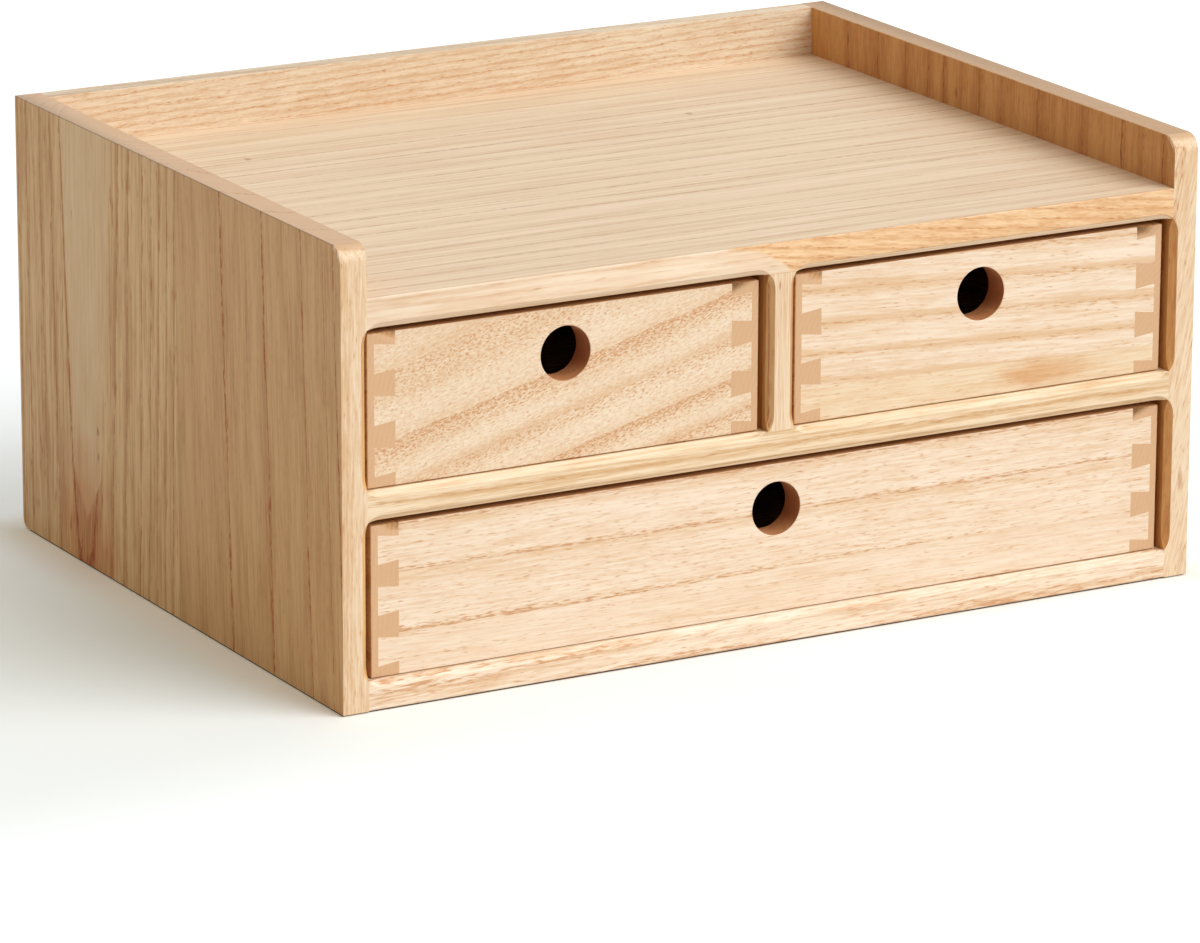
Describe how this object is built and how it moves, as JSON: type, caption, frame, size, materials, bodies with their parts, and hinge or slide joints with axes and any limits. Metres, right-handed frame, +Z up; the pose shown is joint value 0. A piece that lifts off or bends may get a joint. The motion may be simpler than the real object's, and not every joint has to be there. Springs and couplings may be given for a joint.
{
  "type": "desktop drawer organizer",
  "caption": "Solid wood desktop case with two small drawers over one wide drawer, finger holes, dovetailed drawer corners and a low rim round the top on three sides.",
  "frame": {"origin": "centre of the footprint, on the surface that it stands on", "axes": "+X to the right seen from the front, -Y out of the front, where the drawers open, +Z up"},
  "size_m": [0.4, 0.3, 0.19],
  "materials": {
    "case_side_wood": "clear matt finish on straight-grained boards glued from strips",
    "case_board_wood": "clear matt finish on pale straight-grained boards",
    "drawer_front_wood": "clear matt finish on pale flat-sawn boards",
    "drawer_side_wood": "sanded wood, end grain showing at the corners",
    "drawer_floor_plywood": "sanded thin plywood",
    "dowel_wood": "plain turned wood"
  },
  "bodies": {
    "case": {"left_side": "case_side_wood", "right_side": "case_side_wood", "top_panel": "case_board_wood", "shelf": "case_board_wood", "base_panel": "case_board_wood", "divider": "case_board_wood", "back_panel": "case_board_wood", "left_dowels": "dowel_wood", "right_dowels": "dowel_wood", "divider_dowels": "dowel_wood"},
    "left_drawer": {"left_drawer_front": "drawer_front_wood", "left_drawer_left_side": "drawer_side_wood", "left_drawer_right_side": "drawer_side_wood", "left_drawer_back": "drawer_side_wood", "left_drawer_floor": "drawer_floor_plywood"},
    "right_drawer": {"right_drawer_front": "drawer_front_wood", "right_drawer_left_side": "drawer_side_wood", "right_drawer_right_side": "drawer_side_wood", "right_drawer_back": "drawer_side_wood", "right_drawer_floor": "drawer_floor_plywood"},
    "wide_drawer": {"wide_drawer_front": "drawer_front_wood", "wide_drawer_left_side": "drawer_side_wood", "wide_drawer_right_side": "drawer_side_wood", "wide_drawer_back": "drawer_side_wood", "wide_drawer_floor": "drawer_floor_plywood"}
  },
  "joints": [
    {"name": "left_drawer_slide", "type": "slide", "parent": "case", "child": "left_drawer", "axis": [0, -1, 0], "range_m": [0, 0.23]},
    {"name": "right_drawer_slide", "type": "slide", "parent": "case", "child": "right_drawer", "axis": [0, -1, 0], "range_m": [0, 0.23]},
    {"name": "wide_drawer_slide", "type": "slide", "parent": "case", "child": "wide_drawer", "axis": [0, -1, 0], "range_m": [0, 0.23]}
  ]
}
